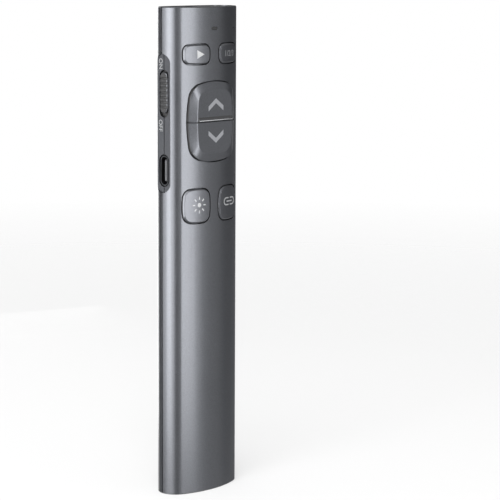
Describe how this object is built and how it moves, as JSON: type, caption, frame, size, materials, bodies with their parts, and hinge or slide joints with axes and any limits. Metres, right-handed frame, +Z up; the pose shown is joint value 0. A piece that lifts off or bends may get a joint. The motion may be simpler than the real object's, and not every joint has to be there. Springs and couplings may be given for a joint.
{
  "type": "presentation clicker",
  "caption": "Slim oval wireless presentation clicker with front keys, side volume keys, a slide switch, a charging socket and a receiver stowed in its tail.",
  "frame": {"origin": "on the surface that the tail stands on, under the middle of the clicker's box", "axes": "+Z up along the clicker to its head, the front keys face -Y, the volume keys face +X"},
  "size_m": [0.029, 0.0138, 0.146],
  "materials": {
    "shell_finish": "satin gunmetal, fine metallic grain",
    "key_finish": "satin gunmetal metallic paint",
    "tail_plastic": "fine matt moulded grey",
    "receiver_plastic": "fine matt moulded grey",
    "dark_plastic": "matt black moulding",
    "chassis_plastic": "matt black moulding",
    "smoked_window": "smoked polished pane",
    "switch_steel": "stamped bright steel",
    "socket_steel": "drawn nickel-plated steel",
    "plug_steel": "folded bright steel",
    "shield_steel": "tinned steel",
    "screw_steel": "blackened steel",
    "circuit_board": "green solder mask over copper tracks",
    "chip_resin": "black moulded resin",
    "capacitor_ceramic": "fired ceramic with tinned ends",
    "battery_foil": "crimped pouch foil",
    "foam_tape": "double-sided foam tape",
    "connector_nylon": "natural nylon",
    "lead_insulation": "red wire insulation",
    "barrel_brass": "turned brass",
    "lens_glass": "polished lens",
    "light_pipe_plastic": "smoked clear plastic",
    "light_chip": "pale resin light",
    "plunger_plastic": "black moulding",
    "magnet_nickel": "nickel plate"
  },
  "bodies": {
    "housing": {"battery": "battery_foil", "battery_connector": "connector_nylon", "battery_leads": "lead_insulation", "battery_tape": "foam_tape", "bay_magnet": "magnet_nickel", "board_capacitors": "capacitor_ceramic", "board_screws": "screw_steel", "charger_chip": "chip_resin", "charging_socket_shell": "socket_steel", "charging_socket_tongue": "dark_plastic", "chassis": "chassis_plastic", "controller_chip": "chip_resin", "crystal": "shield_steel", "front_shell": "shell_finish", "head_plate": "dark_plastic", "laser_barrel": "barrel_brass", "laser_diode": "shield_steel", "laser_lens": "lens_glass", "laser_switch": "switch_steel", "laser_window": "smoked_window", "light_pipe": "light_pipe_plastic", "link_switch": "switch_steel", "main_board": "circuit_board", "mode_switch": "switch_steel", "page_down_switch": "switch_steel", "page_up_switch": "switch_steel", "play_switch": "switch_steel", "radio_shield": "shield_steel", "rear_shell": "shell_finish", "side_board": "circuit_board", "slide_switch": "switch_steel", "status_light": "light_chip", "tail_plate": "tail_plastic", "volume_down_switch": "switch_steel", "volume_up_switch": "switch_steel"},
    "play": {"play_key": "key_finish", "play_plunger": "plunger_plastic"},
    "mode": {"mode_key": "key_finish", "mode_plunger": "plunger_plastic"},
    "laser": {"laser_key": "key_finish", "laser_plunger": "plunger_plastic"},
    "link": {"link_key": "key_finish", "link_plunger": "plunger_plastic"},
    "page_up": {"page_up_key": "key_finish", "page_up_plunger": "plunger_plastic"},
    "page_down": {"page_down_key": "key_finish", "page_down_plunger": "plunger_plastic"},
    "volume_up": {"volume_up_key": "key_finish", "volume_up_plunger": "plunger_plastic"},
    "volume_down": {"volume_down_key": "key_finish", "volume_down_plunger": "plunger_plastic"},
    "power_switch": {"switch_knob": "key_finish", "switch_carrier": "dark_plastic", "slide_switch_lever": "dark_plastic"},
    "receiver": {"receiver_cap": "receiver_plastic", "receiver_plug": "plug_steel", "receiver_board": "circuit_board", "receiver_core": "dark_plastic"}
  },
  "joints": [
    {"name": "play_press", "type": "slide", "parent": "housing", "child": "play", "axis": [0, 1, 0], "range_m": [0, 0.00045], "stiffness_N_per_m": 2000},
    {"name": "mode_press", "type": "slide", "parent": "housing", "child": "mode", "axis": [0, 1, 0], "range_m": [0, 0.00045], "stiffness_N_per_m": 2000},
    {"name": "laser_press", "type": "slide", "parent": "housing", "child": "laser", "axis": [0, 1, 0], "range_m": [0, 0.00045], "stiffness_N_per_m": 2000},
    {"name": "link_press", "type": "slide", "parent": "housing", "child": "link", "axis": [0, 1, 0], "range_m": [0, 0.00045], "stiffness_N_per_m": 2000},
    {"name": "page_up_press", "type": "slide", "parent": "housing", "child": "page_up", "axis": [0, 1, 0], "range_m": [0, 0.00045], "stiffness_N_per_m": 2000},
    {"name": "page_down_press", "type": "slide", "parent": "housing", "child": "page_down", "axis": [0, 1, 0], "range_m": [0, 0.00045], "stiffness_N_per_m": 2000},
    {"name": "volume_up_press", "type": "slide", "parent": "housing", "child": "volume_up", "axis": [-1, 0, 0], "range_m": [0, 0.00035], "stiffness_N_per_m": 2000},
    {"name": "volume_down_press", "type": "slide", "parent": "housing", "child": "volume_down", "axis": [-1, 0, 0], "range_m": [0, 0.00035], "stiffness_N_per_m": 2000},
    {"name": "power_slide", "type": "slide", "parent": "housing", "child": "power_switch", "axis": [0, 0, -1], "range_m": [0, 0.0012]},
    {"name": "receiver_pull", "type": "slide", "parent": "housing", "child": "receiver", "axis": [0, 0, -1], "range_m": [0, 0.0195]}
  ]
}
